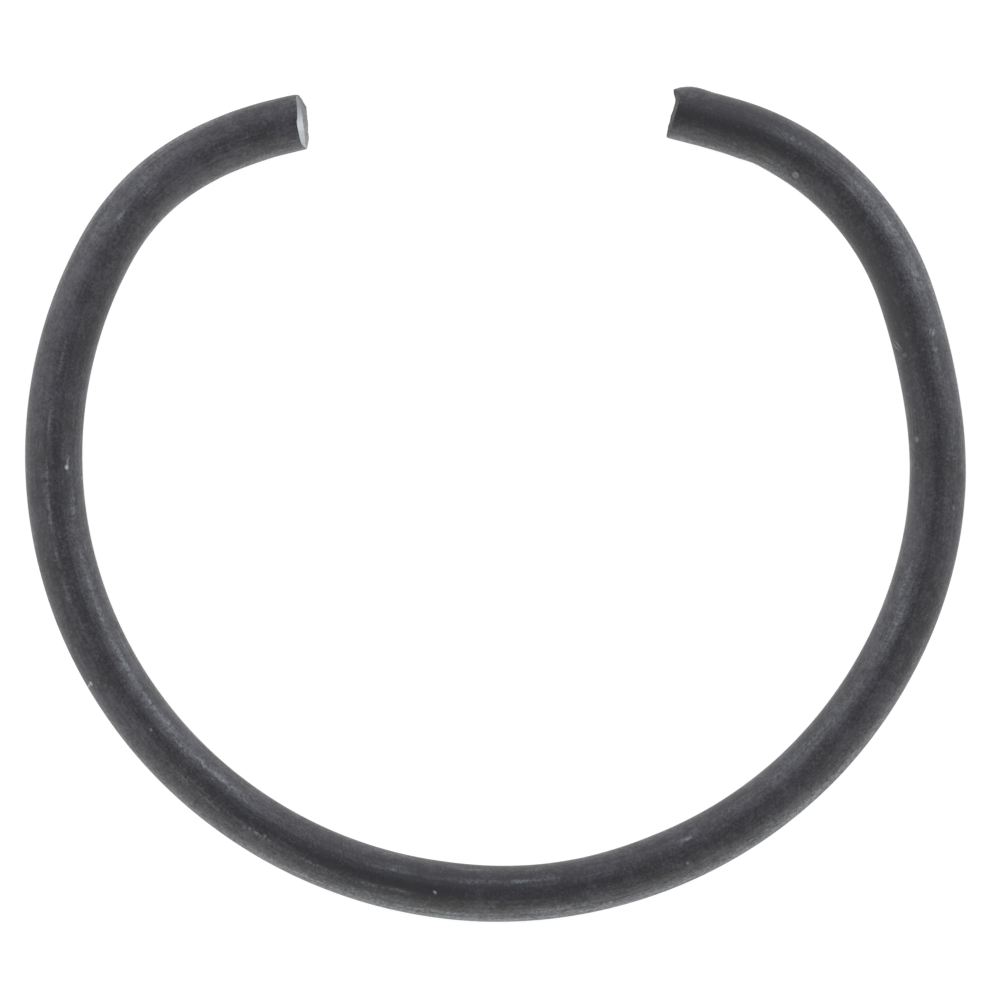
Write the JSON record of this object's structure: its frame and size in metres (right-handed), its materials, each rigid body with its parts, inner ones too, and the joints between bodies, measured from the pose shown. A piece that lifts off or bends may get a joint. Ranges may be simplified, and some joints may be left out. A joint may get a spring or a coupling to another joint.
{
  "type": "circlip retaining ring",
  "caption": "Open ring of black round spring wire with its ends turned in to a wide gap; it springs into a groove and holds a part along a shaft or in a bore.",
  "frame": {"origin": "centre of the main bend, opposite the gap, half way up the wire", "axes": "+Z along the ring's axis, up from the surface it lies on; +Y from the centre to the gap; +X to the right, seen from above"},
  "size_m": [0.0339, 0.0302, 0.002],
  "materials": {
    "phosphated_spring_wire": "satin"
  },
  "bodies": {
    "root": {"retaining_ring": "phosphated_spring_wire"}
  },
  "joints": []
}
